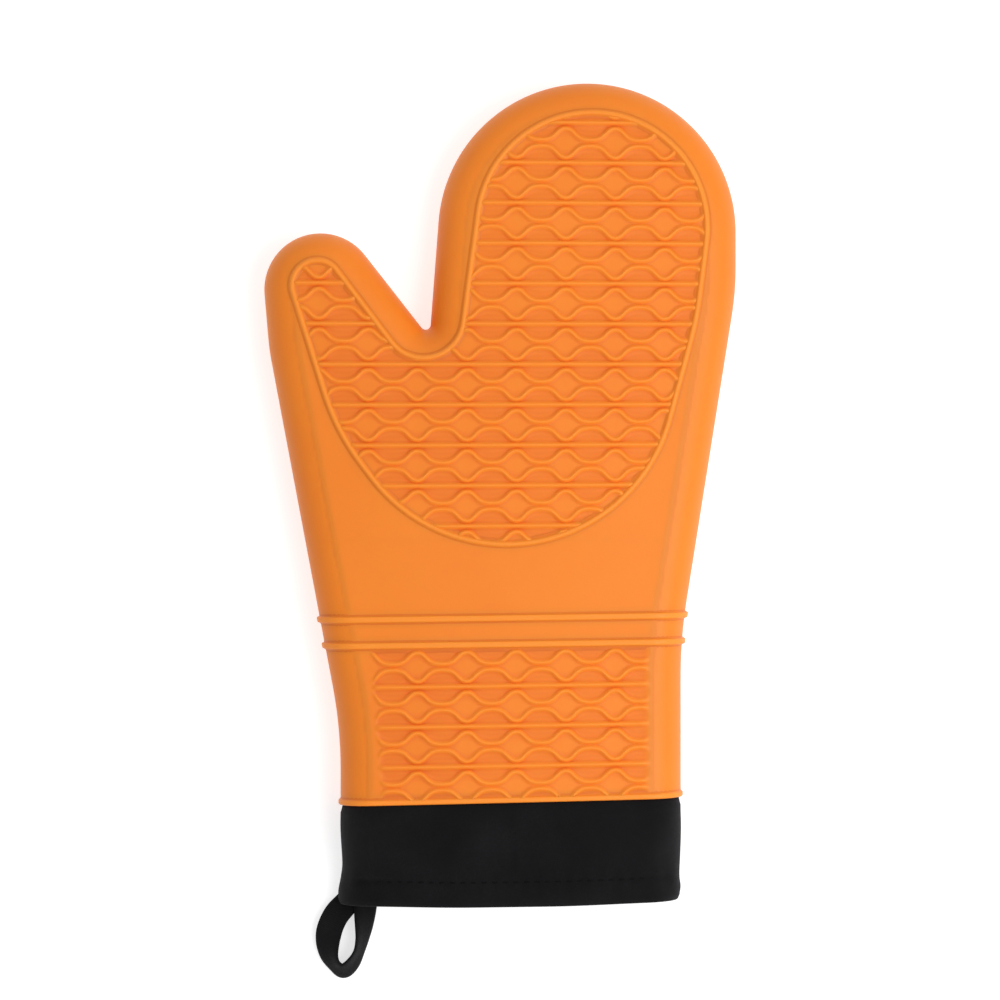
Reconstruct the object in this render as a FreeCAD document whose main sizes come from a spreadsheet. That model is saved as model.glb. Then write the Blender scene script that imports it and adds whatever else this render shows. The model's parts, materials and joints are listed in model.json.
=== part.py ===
"""Silicone oven mitt with a padded cotton liner, lying on its back with the palm up.

The mitt's outline is a chain of circles joined by tangent lines.  Every layer, from
the silicone outside to the lining inside, is the same chain drawn in by that layer's
depth, so all layers follow one another.  The layers are divided where the mitt flexes.
X runs across the hand, Y towards the fingertips and Z out of the palm.
"""
import FreeCAD, Part
import math
import os

import Sketcher
from FreeCAD import Placement, Rotation, Vector

# name, value in millimetres or degrees, meaning
SIZES = [
    ("thickness", 32.0, "mitt from its back to its palm, grip panels included"),
    ("edge_round", 13.5, "rounding between the palm or back and the side wall"),
    ("side_flat", 0.2, "least flat left on a layer's side wall beside a rounding"),
    ("grip_height", 0.8, "how far the grip panels stand out of the silicone"),
    ("silicone_wall", 1.8, "silicone shell"),
    ("cloth", 0.7, "one layer of cotton cloth"),
    ("padding", 2.2, "cotton wadding"),
    ("layer_gap", 0.2, "room between two layers"),
    ("seam_gap", 0.3, "room between the palm half and the back half of a layer"),
    ("gauntlet_half_width", 68.0, "half of the straight gauntlet's width"),
    ("hem_y", -201.5, "open edge of the cotton cuff"),
    ("hem_tilt", 0.8, "slope of the open edge"),
    ("hem_depth", 10.0, "hem stitching above the open edge"),
    ("overrun", 30.0, "how far each form runs on below the open edge before it is trimmed"),
    ("rim_y", -159.3, "lower edge of the silicone"),
    ("rim_tilt", 1.4, "slope of the silicone's lower edge"),
    ("rim_bead", 2.4, "width of the bead along the lower edge"),
    ("tuck", 12.0, "how far the cuff runs up inside the silicone"),
    ("band_height", 1.6, "how far the wrist bands and the bead stand out sideways"),
    ("band_width", 2.2, "width of a wrist band"),
    ("lower_band_y", -97.2, "wrist band nearer the cuff"),
    ("upper_band_y", -86.8, "wrist band nearer the palm"),
    ("band_tilt", 0.8, "slope of the bands and of the gauntlet panel"),
    ("gauntlet_panel_border", 12.5, "plain border on each side of the gauntlet panel"),
    ("gauntlet_panel_low", -157.0, "lower edge of the gauntlet panel"),
    ("gauntlet_panel_high", -100.0, "upper edge of the gauntlet panel"),
    ("waist_left_y", -148.0, "where the thumb side starts to flare"),
    ("waist_left_fullness", 0.4742, "that flare's two radii as a share of the largest that fit"),
    ("waist_right_y", -111.0, "where the little finger side starts to flare"),
    ("waist_right_fullness", 0.5161, "that flare's two radii as a share of the largest that fit"),
    ("thumb_x", -76.0, "middle of the thumb's round end"),
    ("thumb_reach", 66.5, "top of the thumb"),
    ("thumb_radius", 22.5, "round end of the thumb"),
    ("thumb_side_radius", 90.0, "outer side of the thumb's base"),
    ("thumb_side_setback", 1.3, "base of the thumb behind its round end"),
    ("thumb_side_y", 32.0, "widest place of the thumb's base"),
    ("crotch_x", -34.0, "notch between thumb and fingers"),
    ("crotch_y", 30.0, "notch between thumb and fingers"),
    ("crotch_radius", 2.0, "bottom of the notch"),
    ("finger_offset", 5.0, "fingers' side to the right of the notch"),
    ("finger_reach", 126.3, "top of the fingers"),
    ("finger_radius", 59.5, "round end of the fingers"),
    ("finger_side_radius", 120.0, "little finger side"),
    ("finger_side_y", 52.7, "widest place of the little finger side"),
    ("panel_border", 12.0, "plain border around the palm panel"),
    ("panel_side_radius", 120.0, "little finger side of the panel"),
    ("panel_side_setback", 0.8, "side of the panel behind its round end"),
    ("panel_side_y", 59.0, "widest place of the panel's side"),
    ("panel_heel_radius", 68.5, "lower end of the panel"),
    ("panel_heel_setback", 11.7, "lower end of the panel behind the border's inner edge"),
    ("panel_heel_y", -57.6, "lower end of the panel"),
    ("panel_thumb_side_radius", 79.0, "thumb side of the panel"),
    ("panel_thumb_side_setback", 9.0, "side of the panel behind the thumb's end"),
    ("panel_thumb_side_y", 23.3, "widest place of the panel's thumb side"),
    ("flex_gap", 0.4, "room around a flex drum"),
    ("flex_margin", 0.6, "flex drum beyond the least radius that clears"),
    ("flex_turn", 60.0, "largest bend at a flex line"),
    ("wrist_y", -78.0, "wrist flex line"),
    ("finger_flex_rise", 1.5, "fingers' flex drum above the notch"),
    ("thumb_flex_rise", 1.5, "thumb's flex drum above the notch"),
    ("thumb_lean", 26.0, "slope of the thumb's flex line"),
    ("thread", 0.5, "sewing thread's thickness"),
    ("stitch_length", 3.0, "one stitch"),
    ("stitch_pitch", 4.2, "one stitch to the next"),
    ("stitch_margin", 15.0, "first stitch from the cuff's side"),
    ("loop_gap", 0.9, "hanging loop below the hem"),
    ("loop_z", 5.0, "hanging loop above the table"),
    ("loop_thickness", 2.4, "folded tape of the hanging loop"),
    ("loop_inset", 1.8, "cuff's thumb side to the middle of the loop's bulge"),
    ("loop_drop", 11.3, "top of the loop to the middle of its bulge"),
    ("loop_radius", 12.0, "outside of the loop's bulge"),
    ("loop_inner_leg_inset", 10.0, "cuff's thumb side to the loop's inner leg"),
    ("loop_inner_leg_drop", 2.6, "top of the loop to the middle of that leg's bend"),
    ("loop_inner_leg_radius", 3.0, "outside of that leg's bend"),
    ("loop_tip_inset", -0.2, "cuff's thumb side to the loop's tip"),
    ("loop_tip_drop", 24.6, "top of the loop to the middle of its tip"),
    ("loop_tip_radius", 3.6, "outside of the loop's tip"),
    ("eye_top_inset", 4.1, "cuff's thumb side to the upper end of the loop's eye"),
    ("eye_top_drop", 4.3, "top of the loop to the eye's upper end"),
    ("eye_top_radius", 1.3, "eye's upper end"),
    ("eye_foot_inset", 1.5, "cuff's thumb side to the lower end of the loop's eye"),
    ("eye_foot_drop", 16.9, "top of the loop to the eye's lower end"),
    ("eye_foot_radius", 3.1, "eye's lower end"),
]

LEVELS = {
    "shell": ("0", "Sheet.silicone_wall"),
    "cuff": ("Sheet.silicone_wall + Sheet.layer_gap",
             "Sheet.silicone_wall + Sheet.layer_gap + Sheet.cloth"),
    "wadding": ("Sheet.silicone_wall + 2 * Sheet.layer_gap + Sheet.cloth",
                "Sheet.silicone_wall + 2 * Sheet.layer_gap + Sheet.cloth + Sheet.padding"),
    "lining": ("Sheet.silicone_wall + 3 * Sheet.layer_gap + Sheet.cloth + Sheet.padding",
               "Sheet.silicone_wall + 3 * Sheet.layer_gap + 2 * Sheet.cloth + Sheet.padding"),
}
DRUM = "(Sheet.thickness / 2 / sin(Sheet.flex_turn) + Sheet.flex_margin)"

FINGER_X = "(Sheet.crotch_x + Sheet.finger_offset + Sheet.finger_radius)"
FINGER_Y = "(Sheet.finger_reach - Sheet.finger_radius)"
THUMB_Y = "(Sheet.thumb_reach - Sheet.thumb_radius)"
THUMB_EDGE = "(Sheet.thumb_x - Sheet.thumb_radius)"
FINGER_EDGE = "(Sheet.crotch_x + Sheet.finger_offset + 2 * Sheet.finger_radius)"


def flare_radius(step, rise, fullness, upper_radius):
    """Expression for the hollow radius of a flare that widens by step over the height rise.

    Two arcs with no straight between them have radii that add up to
    (step^2 + rise^2) / (2 step), which is the most that fits.
    """
    return f"({fullness} * (({step})^2 + ({rise})^2) / (2 * ({step})) - {upper_radius})"


LEFT_FLARE = flare_radius(
    f"-Sheet.gauntlet_half_width - {THUMB_EDGE} - Sheet.thumb_side_setback",
    "Sheet.thumb_side_y - Sheet.waist_left_y",
    "Sheet.waist_left_fullness", "Sheet.thumb_side_radius")
RIGHT_FLARE = flare_radius(
    f"{FINGER_EDGE} - Sheet.gauntlet_half_width",
    "Sheet.finger_side_y - Sheet.waist_right_y",
    "Sheet.waist_right_fullness", "Sheet.finger_side_radius")

# name, centre x, centre y, radius, +1 where the outline bulges and -1 where it is hollow
OUTLINE = [
    ("waist_left", "-Sheet.gauntlet_half_width - " + LEFT_FLARE,
     "Sheet.waist_left_y", LEFT_FLARE, -1),
    ("thumb_side", THUMB_EDGE + " + Sheet.thumb_side_setback + Sheet.thumb_side_radius",
     "Sheet.thumb_side_y", "Sheet.thumb_side_radius", 1),
    ("thumb", "Sheet.thumb_x", THUMB_Y, "Sheet.thumb_radius", 1),
    ("crotch", "Sheet.crotch_x", "Sheet.crotch_y", "Sheet.crotch_radius", -1),
    ("fingers", FINGER_X, FINGER_Y, "Sheet.finger_radius", 1),
    ("finger_side", FINGER_EDGE + " - Sheet.finger_side_radius",
     "Sheet.finger_side_y", "Sheet.finger_side_radius", 1),
    ("waist_right", "Sheet.gauntlet_half_width + " + RIGHT_FLARE,
     "Sheet.waist_right_y", RIGHT_FLARE, -1),
]
PANEL = [
    ("thumb", "Sheet.thumb_x", THUMB_Y, "Sheet.thumb_radius - Sheet.panel_border", 1),
    ("crotch", "Sheet.crotch_x", "Sheet.crotch_y", "Sheet.crotch_radius + Sheet.panel_border", -1),
    ("fingers", FINGER_X, FINGER_Y, "Sheet.finger_radius - Sheet.panel_border", 1),
    ("finger_side",
     FINGER_EDGE + " - Sheet.panel_border - Sheet.panel_side_setback - Sheet.panel_side_radius",
     "Sheet.panel_side_y", "Sheet.panel_side_radius", 1),
    ("heel",
     FINGER_EDGE + " - Sheet.panel_border - Sheet.panel_heel_setback - Sheet.panel_heel_radius",
     "Sheet.panel_heel_y + Sheet.panel_heel_radius", "Sheet.panel_heel_radius", 1),
    ("thumb_side",
     THUMB_EDGE + " + Sheet.panel_border + Sheet.panel_thumb_side_setback"
     " + Sheet.panel_thumb_side_radius",
     "Sheet.panel_thumb_side_y", "Sheet.panel_thumb_side_radius", 1),
]
FAR = "400"  # half-size in millimetres of the boxes that divide the mitt, beyond any of its sides
EVERYWHERE = ("-" + FAR, FAR)
TOLERANCE = 1e-6  # millimetres within which two heights are the same

doc = FreeCAD.newDocument("OvenMitt")
sheet = doc.addObject("Spreadsheet::Sheet", "Sheet")
for row, (alias, number, meaning) in enumerate(SIZES, start=1):
    sheet.set(f"A{row}", alias)
    sheet.set(f"B{row}", str(number))
    sheet.set(f"C{row}", meaning)
    sheet.setAlias(f"B{row}", alias)
doc.recompute()

nodes = []


def worth(expression):
    """Number that an expression on the sheet stands for."""
    result = sheet.evalExpression(expression)
    return float(getattr(result, "Value", result))


def keep(feature, label):
    """Name a finished sub-part and add it to the nodes."""
    feature.Label = label
    nodes.append(feature)
    return feature


def heading(start, end):
    """Direction of the line that touches two circles given as (x, y, signed radius)."""
    across = end[0] - start[0]
    along = end[1] - start[1]
    distance = math.hypot(across, along)
    return math.atan2(along, across) - math.asin((start[2] - end[2]) / distance)


def touch(circle, direction):
    """Point where a line of that direction touches the circle."""
    x, y, radius = circle
    return Vector(x - radius * math.sin(direction), y + radius * math.cos(direction), 0)


def draw_chain(sketch, table, inset, closed):
    """Draw arcs and tangent lines round a table of circles and tie them to the sheet."""
    circles = []
    for name, x, y, radius, sense in table:
        circles.append((worth(x), worth(y), sense * worth(radius) - worth(inset)))
    count = len(circles)
    lines = count if closed else count - 1
    turns = [heading(circles[i], circles[(i + 1) % count]) for i in range(lines)]
    before = [turns[-1]] + turns if closed else [math.pi / 2] + turns
    after = turns if closed else turns + [-math.pi / 2]
    arcs = []
    for i, (x, y, radius) in enumerate(circles):
        circle = Part.Circle(Vector(x, y, 0), Vector(0, 0, 1), abs(radius))
        if radius > 0:
            span = (after[i] + math.pi / 2, before[i] + math.pi / 2)
        else:
            span = (before[i] - math.pi / 2, after[i] - math.pi / 2)
        arcs.append(sketch.addGeometry(Part.ArcOfCircle(circle, *span), False))
    joins = []
    for i in range(lines):
        j = (i + 1) % count
        line = Part.LineSegment(touch(circles[i], turns[i]), touch(circles[j], turns[i]))
        joins.append(sketch.addGeometry(line, False))
    for i, (name, x, y, radius, sense) in enumerate(table):
        bind_arc(sketch, arcs[i], name, x, y, radius, sense, inset)
    for i in range(lines):
        j = (i + 1) % count
        leave = nearer_end(sketch, arcs[i], sketch.Geometry[joins[i]].StartPoint)
        enter = nearer_end(sketch, arcs[j], sketch.Geometry[joins[i]].EndPoint)
        sketch.addConstraint(Sketcher.Constraint("Tangent", arcs[i], leave, joins[i], 1))
        sketch.addConstraint(Sketcher.Constraint("Tangent", joins[i], 2, arcs[j], enter))
    return arcs


def nearer_end(sketch, arc, point):
    """Which end of an arc (1 or 2) lies at a point: arcs run anticlockwise in a sketch."""
    curve = sketch.Geometry[arc]
    if curve.StartPoint.distanceToPoint(point) < curve.EndPoint.distanceToPoint(point):
        return 1
    return 2


def bind(sketch, kind, arguments, value, name, expression):
    """Add a named dimension and bind it to the sheet."""
    index = sketch.addConstraint(Sketcher.Constraint(kind, *arguments, value))
    sketch.renameConstraint(index, name)
    sketch.setExpression(f"Constraints.{name}", expression)


def bind_arc(sketch, arc, name, x, y, radius, sense, inset):
    """Tie an arc's centre and radius to the sheet."""
    reach = f"{radius} - ({inset})" if sense > 0 else f"{radius} + ({inset})"
    bind(sketch, "DistanceX", (-1, 1, arc, 3), worth(x), name + "_x", x)
    bind(sketch, "DistanceY", (-1, 1, arc, 3), worth(y), name + "_y", y)
    bind(sketch, "Radius", (arc,), worth(reach), name + "_radius", reach)


def new_body(name):
    """Body with an empty sketch on its XY plane."""
    body = doc.addObject("PartDesign::Body", name)
    sketch = body.newObject("Sketcher::SketchObject", name + "Sketch")
    plane = [item for item in body.Origin.OriginFeatures if item.Role == "XY_Plane"][0]
    sketch.AttachmentSupport = [(plane, "")]
    sketch.MapMode = "FlatFace"
    return body, sketch


def pad(body, sketch, low, high):
    """Pad a sketch from one height to another."""
    sketch.setExpression("AttachmentOffset.Base.z", low)
    feature = body.newObject("PartDesign::Pad", body.Name + "Pad")
    feature.Profile = sketch
    feature.setExpression("Length", f"{high} - ({low})")
    doc.recompute()
    return feature


def outline_form(name, inset, low, high):
    """Solid inside the mitt's outline drawn in by inset, with rounded long edges.

    It runs past the hem, so that each layer can be trimmed to its own length.
    """
    body, sketch = new_body(name)
    arcs = draw_chain(sketch, OUTLINE, inset, closed=False)
    first = sketch.Geometry[arcs[0]]
    last = sketch.Geometry[arcs[-1]]
    left_top = min(first.StartPoint, first.EndPoint, key=lambda point: point.y)
    right_top = min(last.StartPoint, last.EndPoint, key=lambda point: point.y)
    foot = worth("Sheet.hem_y - Sheet.overrun")
    left_foot = Vector(left_top.x, foot, 0)
    right_foot = Vector(right_top.x, foot, 0)
    left_line = sketch.addGeometry(Part.LineSegment(left_foot, left_top), False)
    right_line = sketch.addGeometry(Part.LineSegment(right_top, right_foot), False)
    base_line = sketch.addGeometry(Part.LineSegment(right_foot, left_foot), False)
    left_end = nearer_end(sketch, arcs[0], left_top)
    right_end = nearer_end(sketch, arcs[-1], right_top)
    sketch.addConstraint(Sketcher.Constraint("Tangent", left_line, 2, arcs[0], left_end))
    sketch.addConstraint(Sketcher.Constraint("Tangent", arcs[-1], right_end, right_line, 1))
    sketch.addConstraint(Sketcher.Constraint("Coincident", right_line, 2, base_line, 1))
    sketch.addConstraint(Sketcher.Constraint("Coincident", base_line, 2, left_line, 1))
    sketch.addConstraint(Sketcher.Constraint("Vertical", left_line))
    sketch.addConstraint(Sketcher.Constraint("Vertical", right_line))
    sketch.addConstraint(Sketcher.Constraint("Horizontal", base_line))
    bind(sketch, "DistanceY", (-1, 1, base_line, 1), foot, "foot", "Sheet.hem_y - Sheet.overrun")
    padded = pad(body, sketch, low, high)
    heights = (worth(low), worth(high))
    picked = []
    for index, edge in enumerate(padded.Shape.Edges, start=1):
        box = edge.BoundBox
        level = any(abs(box.ZMin - z) + abs(box.ZMax - z) < TOLERANCE for z in heights)
        if level and box.YMax > foot + TOLERANCE:
            picked.append(f"Edge{index}")
    fillet = body.newObject("PartDesign::Fillet", name + "Round")
    fillet.Base = (padded, picked)
    fillet.setExpression(
        "Radius",
        f"min(Sheet.edge_round - ({inset}); (({high}) - ({low})) / 2 - Sheet.side_flat)")
    doc.recompute()
    return body


def block(name, x, y, tilt, x_span, y_span, z_span):
    """Box over the given spans, turned by tilt about the upright line through (x, y)."""
    box = doc.addObject("Part::Box", name)
    box.setExpression("Length", f"({x_span[1]}) - ({x_span[0]})")
    box.setExpression("Width", f"({y_span[1]}) - ({y_span[0]})")
    box.setExpression("Height", f"({z_span[1]}) - ({z_span[0]})")
    box.Placement = Placement(Vector(), Rotation(Vector(0, 0, 1), worth(tilt)))
    box.setExpression(
        "Placement.Base.x",
        f"{x} + ({x_span[0]}) * cos({tilt}) - ({y_span[0]}) * sin({tilt})")
    box.setExpression(
        "Placement.Base.y",
        f"{y} + ({x_span[0]}) * sin({tilt}) + ({y_span[0]}) * cos({tilt})")
    box.setExpression("Placement.Base.z", z_span[0])
    return box


def combine(kind, name, first, second):
    """Part::Cut, Part::Common or Part::Fuse of two objects."""
    result = doc.addObject("Part::" + kind, name)
    result.Base = first
    result.Tool = second
    return result


def fuse_all(name, shapes):
    """One object made of several that touch or overlap."""
    result = doc.addObject("Part::MultiFuse", name)
    result.Shapes = shapes
    return result


def flex_zone(name, x, y, tilt, x_span, y_span, gap):
    """Room on one side of a flex line together with the round drum about that line."""
    room = block(name + "Room", x, y, tilt, x_span, y_span, EVERYWHERE)
    drum = doc.addObject("Part::Cylinder", name + "Drum")
    drum.setExpression("Radius", f"{DRUM} + {gap}")
    drum.setExpression("Height", f"({x_span[1]}) - ({x_span[0]})")
    upright = Rotation(Vector(0, 0, 1), worth(tilt))
    lying = Rotation(Vector(0, 1, 0), 90)
    drum.Placement = Placement(Vector(), upright * lying)
    drum.setExpression("Placement.Base.x", f"{x} + ({x_span[0]}) * cos({tilt})")
    drum.setExpression("Placement.Base.y", f"{y} + ({x_span[0]}) * sin({tilt})")
    drum.setExpression("Placement.Base.z", "Sheet.thickness / 2")
    return combine("Fuse", name, room, drum)


def all_zones(prefix, gap):
    """The gauntlet's, fingers' and thumb's shares of the mitt; the rest is the palm's."""
    gauntlet = flex_zone(
        prefix + "Gauntlet", "0", "Sheet.wrist_y", "0", EVERYWHERE, ("-" + FAR, "0"), gap)
    rise = f"(Sheet.finger_flex_rise + {DRUM})"
    fingers = flex_zone(
        prefix + "Fingers", "Sheet.crotch_x", "Sheet.crotch_y + " + rise, "0",
        ("0", FAR), ("0", FAR), gap)
    rise = f"(Sheet.thumb_flex_rise + {DRUM})"
    thumb = flex_zone(
        prefix + "Thumb",
        f"Sheet.crotch_x - {rise} * sin(Sheet.thumb_lean)",
        f"Sheet.crotch_y + {rise} * cos(Sheet.thumb_lean)",
        "Sheet.thumb_lean", ("-" + FAR, "0"), ("0", FAR), gap)
    return {"gauntlet": gauntlet, "fingers": fingers, "thumb": thumb}


def divide(layer, ending, whole, own_zones, others):
    """Cut one layer into the four parts that flex against one another."""
    for part, zone in own_zones.items():
        keep(combine("Common", f"{part}{layer}{ending}", whole, zone), f"{part}_{layer}{ending}")
    keep(combine("Cut", f"palm{layer}{ending}", whole, others), f"palm_{layer}{ending}")


def make_forms():
    """Outer and inner form of every layer."""
    forms = {}
    for layer, (outer, inner) in LEVELS.items():
        for side, inset in (("outer", outer), ("inner", inner)):
            forms[layer, side] = outline_form(
                f"{layer}_{side}", inset, f"Sheet.grip_height + {inset}",
                f"Sheet.thickness - Sheet.grip_height - ({inset})")
    forms["bands"] = outline_form("bands_form", "-Sheet.band_height", "0", "Sheet.thickness")
    return forms


def grip_panel():
    """Plateau of the palm's and the back's grip panels."""
    body, sketch = new_body("GripPanel")
    draw_chain(sketch, PANEL, "0", closed=True)
    pad(body, sketch, "0", "Sheet.thickness")
    return body


def silicone_shell(forms, zones, others):
    """Silicone shell with its grip panels, wrist bands and rim bead."""
    raised = [forms["shell", "outer"], grip_panel()]
    raised.append(block(
        "GauntletPanel", "0", "Sheet.gauntlet_panel_low", "Sheet.band_tilt",
        ("Sheet.gauntlet_panel_border - Sheet.gauntlet_half_width",
         "Sheet.gauntlet_half_width - Sheet.gauntlet_panel_border"),
        ("0", "Sheet.gauntlet_panel_high - Sheet.gauntlet_panel_low"), ("0", "Sheet.thickness")))
    for name, y, tilt, width in (
            ("LowerBand", "Sheet.lower_band_y", "Sheet.band_tilt", "Sheet.band_width"),
            ("UpperBand", "Sheet.upper_band_y", "Sheet.band_tilt", "Sheet.band_width"),
            ("RimBead", "Sheet.rim_y + Sheet.rim_bead / 2", "Sheet.rim_tilt", "Sheet.rim_bead")):
        strip = block(name + "Strip", "0", y, tilt, EVERYWHERE,
                      (f"-{width} / 2", f"{width} / 2"), EVERYWHERE)
        raised.append(combine("Common", name, forms["bands"], strip))
    outside = fuse_all("ShellOutside", raised)
    hollow = combine("Cut", "ShellHollow", outside, forms["shell", "inner"])
    above_rim = block("AboveRim", "0", "Sheet.rim_y", "Sheet.rim_tilt",
                      EVERYWHERE, ("0", FAR), EVERYWHERE)
    whole = combine("Common", "ShellWhole", hollow, above_rim)
    divide("shell", "", whole, zones, others)


def halves():
    """Palm half and back half of the space, with the seam gap between them."""
    middle = "Sheet.thickness / 2"
    palm = block("PalmHalf", "0", "0", "0", EVERYWHERE, EVERYWHERE,
                 (middle + " + Sheet.seam_gap / 2", FAR))
    back = block("BackHalf", "0", "0", "0", EVERYWHERE, EVERYWHERE,
                 ("-" + FAR, middle + " - Sheet.seam_gap / 2"))
    return {"palm": palm, "back": back}


def liner(forms, zones, others, sides):
    """Wadding and lining, each in a palm half and a back half."""
    for layer, edge in (("wadding", "2 * Sheet.cloth + Sheet.layer_gap"), ("lining", "0")):
        ring = combine("Cut", layer + "Ring", forms[layer, "outer"], forms[layer, "inner"])
        above_hem = block(layer + "AboveHem", "0", "Sheet.hem_y", "Sheet.hem_tilt",
                          EVERYWHERE, (edge, FAR), EVERYWHERE)
        trimmed = combine("Common", layer + "Trimmed", ring, above_hem)
        for side, half in sides.items():
            whole = combine("Common", f"{layer}_{side}", trimmed, half)
            divide(layer, "_" + side, whole, zones, others)


def cuff(forms, sides):
    """Cotton cuff: full size below the rim, with a tongue that runs up inside the silicone."""
    below_rim = block("BelowRim", "0", "Sheet.rim_y", "Sheet.rim_tilt", EVERYWHERE,
                      ("-" + FAR, "-Sheet.layer_gap"), EVERYWHERE)
    below_tuck = block("BelowTuck", "0", "Sheet.rim_y", "Sheet.rim_tilt", EVERYWHERE,
                       ("-" + FAR, "Sheet.tuck"), EVERYWHERE)
    sleeve = combine("Common", "CuffSleeve", forms["shell", "outer"], below_rim)
    tongue = combine("Common", "CuffTongue", forms["cuff", "outer"], below_tuck)
    outside = combine("Fuse", "CuffOutside", sleeve, tongue)
    hollow = combine("Cut", "CuffHollow", outside, forms["cuff", "inner"])
    above_hem = block("CuffAboveHem", "0", "Sheet.hem_y", "Sheet.hem_tilt", EVERYWHERE,
                      ("0", FAR), EVERYWHERE)
    trimmed = combine("Common", "CuffTrimmed", hollow, above_hem)
    facing = combine("Cut", "FacingRing", forms["wadding", "outer"], forms["wadding", "inner"])
    hem_strip = block("HemStrip", "0", "Sheet.hem_y", "Sheet.hem_tilt", EVERYWHERE,
                      ("0", "2 * Sheet.cloth"), EVERYWHERE)
    turned = combine("Common", "FacingTrimmed", facing, hem_strip)
    for side, half in sides.items():
        keep(combine("Common", "Cuff" + side, trimmed, half), f"cuff_cloth_{side}")
        keep(combine("Common", "Facing" + side, turned, half), f"hem_facing_{side}")


def hem_stitches():
    """One row of stitches on each face of the cuff, above its open edge."""
    room = worth("2 * (Sheet.gauntlet_half_width - Sheet.stitch_margin)")
    count = int(room // worth("Sheet.stitch_pitch")) + 1
    for side, level in (("palm", "Sheet.thickness - Sheet.grip_height"),
                        ("back", "Sheet.grip_height - Sheet.thread")):
        row = []
        for i in range(count):
            start = f"{i - (count - 1) / 2} * Sheet.stitch_pitch - Sheet.stitch_length / 2"
            row.append(block(
                f"Stitch{side}{i}", "0", "Sheet.hem_y + Sheet.hem_depth", "Sheet.hem_tilt",
                (start, start + " + Sheet.stitch_length"), ("0", "Sheet.thread"),
                (level, level + " + Sheet.thread")))
        stitches = doc.addObject("Part::Compound", "Stitches" + side)
        stitches.Links = row
        keep(stitches, f"hem_stitches_{side}")


def hanging_loop():
    """Folded tape loop below the thumb side of the hem."""
    side = "-Sheet.gauntlet_half_width"
    middle = f"({side} + Sheet.loop_inset)"
    top = f"(Sheet.hem_y + {middle} * tan(Sheet.hem_tilt) - Sheet.loop_gap)"
    outer = [
        ("bulge", middle, top + " - Sheet.loop_drop", "Sheet.loop_radius", 1),
        ("leg", side + " + Sheet.loop_inner_leg_inset", top + " - Sheet.loop_inner_leg_drop",
         "Sheet.loop_inner_leg_radius", 1),
        ("tip", side + " + Sheet.loop_tip_inset", top + " - Sheet.loop_tip_drop",
         "Sheet.loop_tip_radius", 1),
    ]
    eye = [
        ("eye_top", side + " + Sheet.eye_top_inset", top + " - Sheet.eye_top_drop",
         "Sheet.eye_top_radius", 1),
        ("eye_foot", side + " + Sheet.eye_foot_inset", top + " - Sheet.eye_foot_drop",
         "Sheet.eye_foot_radius", 1),
    ]
    body, sketch = new_body("LoopTape")
    draw_chain(sketch, outer, "0", closed=True)
    draw_chain(sketch, eye, "0", closed=True)
    pad(body, sketch, "Sheet.loop_z - Sheet.loop_thickness / 2",
        "Sheet.loop_z + Sheet.loop_thickness / 2")
    below = block("LoopRoom", "0", top, "0", EVERYWHERE, ("-" + FAR, "0"), EVERYWHERE)
    keep(combine("Common", "Loop", body, below), "hang_loop")


def check_and_export():
    """Stop on any failed object or bad shape, then write one file for each node."""
    doc.recompute()
    for item in doc.Objects:
        if "Invalid" in item.State or "Error" in item.State:
            raise RuntimeError(f"{item.Name} failed: {item.State}")
    for node in nodes:
        if node.Shape.isNull() or not node.Shape.isValid() or not node.Shape.Solids:
            raise RuntimeError(f"{node.Label} has no valid solid")
    os.makedirs("parts", exist_ok=True)
    for node in nodes:
        node.Shape.exportStep(f"parts/{node.Label}.step")
        print(f"{node.Label}: {len(node.Shape.Solids)} solids, {node.Shape.Volume:.0f} mm3")


forms = make_forms()
own = all_zones("Own", "0")
grown = fuse_all("GrownZones", list(all_zones("Grown", "Sheet.flex_gap").values()))
sides = halves()
silicone_shell(forms, own, grown)
liner(forms, own, grown, sides)
cuff(forms, sides)
hem_stitches()
hanging_loop()
check_and_export()
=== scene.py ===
import bpy
import json
import math
import numpy as np
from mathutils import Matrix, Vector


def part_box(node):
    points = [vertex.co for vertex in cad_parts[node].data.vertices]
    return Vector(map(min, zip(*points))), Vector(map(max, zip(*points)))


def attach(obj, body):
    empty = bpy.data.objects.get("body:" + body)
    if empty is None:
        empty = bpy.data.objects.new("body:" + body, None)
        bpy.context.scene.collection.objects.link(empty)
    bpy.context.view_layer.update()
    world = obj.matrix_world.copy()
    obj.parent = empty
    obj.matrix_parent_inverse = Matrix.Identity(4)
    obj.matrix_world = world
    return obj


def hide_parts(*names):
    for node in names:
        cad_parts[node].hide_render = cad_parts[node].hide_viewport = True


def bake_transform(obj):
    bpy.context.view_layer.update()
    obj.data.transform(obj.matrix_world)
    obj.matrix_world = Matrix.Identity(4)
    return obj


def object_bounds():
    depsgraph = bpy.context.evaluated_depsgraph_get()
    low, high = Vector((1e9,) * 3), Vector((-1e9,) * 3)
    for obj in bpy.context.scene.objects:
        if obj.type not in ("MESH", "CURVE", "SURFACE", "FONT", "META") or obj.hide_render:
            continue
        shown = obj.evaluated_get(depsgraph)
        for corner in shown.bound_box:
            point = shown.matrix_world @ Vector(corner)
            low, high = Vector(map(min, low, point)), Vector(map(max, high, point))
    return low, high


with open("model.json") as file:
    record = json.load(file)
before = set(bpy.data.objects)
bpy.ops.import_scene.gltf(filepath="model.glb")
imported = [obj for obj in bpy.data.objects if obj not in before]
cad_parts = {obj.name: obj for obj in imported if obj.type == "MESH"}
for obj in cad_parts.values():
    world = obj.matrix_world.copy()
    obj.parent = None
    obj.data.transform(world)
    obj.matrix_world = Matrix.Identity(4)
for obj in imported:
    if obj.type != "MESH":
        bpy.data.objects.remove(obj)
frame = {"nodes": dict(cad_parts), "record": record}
cadBox = [[float(v) for v in corner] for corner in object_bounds()]
mm = 0.001
print("frame loaded")

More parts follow.
